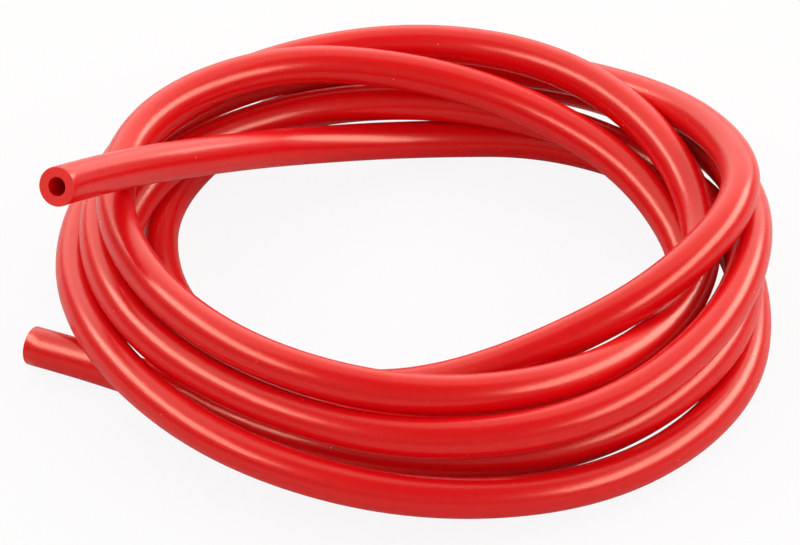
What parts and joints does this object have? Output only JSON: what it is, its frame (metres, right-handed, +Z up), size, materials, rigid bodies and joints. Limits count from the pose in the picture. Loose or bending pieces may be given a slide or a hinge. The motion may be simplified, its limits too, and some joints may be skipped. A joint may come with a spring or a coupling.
{
  "type": "rubber vacuum tubing",
  "caption": "Flexible thick-walled rubber tube with square-cut open ends, lying as a loose round coil with its turns crossing over each other.",
  "frame": {"origin": "bottom centre of the coil's bounding box, on the surface it lies on", "axes": "+Z up, away from the surface; +X to the right in the picture, away from the two cut ends; +Y away from the viewer"},
  "size_m": [0.1904, 0.1959, 0.0606],
  "materials": {
    "rubber": "smooth satin red rubber with soft gloss"
  },
  "bodies": {
    "root": {"tubing": "rubber"}
  },
  "joints": []
}
